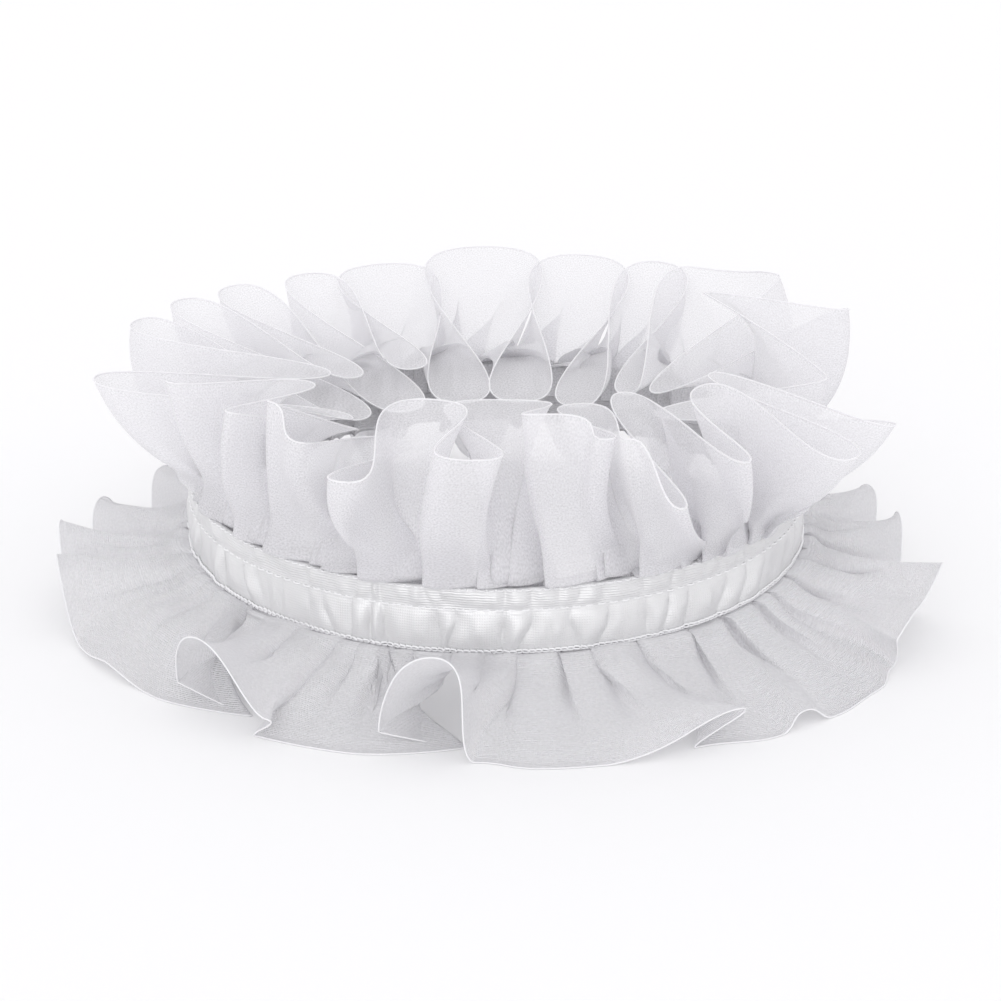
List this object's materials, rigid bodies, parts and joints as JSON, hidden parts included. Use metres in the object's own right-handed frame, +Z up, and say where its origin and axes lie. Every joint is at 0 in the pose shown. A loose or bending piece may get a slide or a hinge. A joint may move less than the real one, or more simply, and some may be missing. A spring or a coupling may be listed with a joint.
{
  "type": "detachable ruffled collar",
  "caption": "Pull-on neck ruffle: a gathered satin ribbon ring with a sheer frill standing above it and a second frill spreading below.",
  "frame": {"origin": "centre of the collar's box, on the surface it stands on", "axes": "+Z up through the neck ring, +Y towards the back of the neck, -Y towards the front"},
  "size_m": [0.1757, 0.1819, 0.058],
  "materials": {
    "satin": "white satin ribbon, glossy along its puckers",
    "chiffon": "sheer white crepe chiffon, matt and translucent"
  },
  "bodies": {
    "root": {"ribbon_band": "satin", "upper_frill": "chiffon", "lower_frill": "chiffon"}
  },
  "joints": []
}
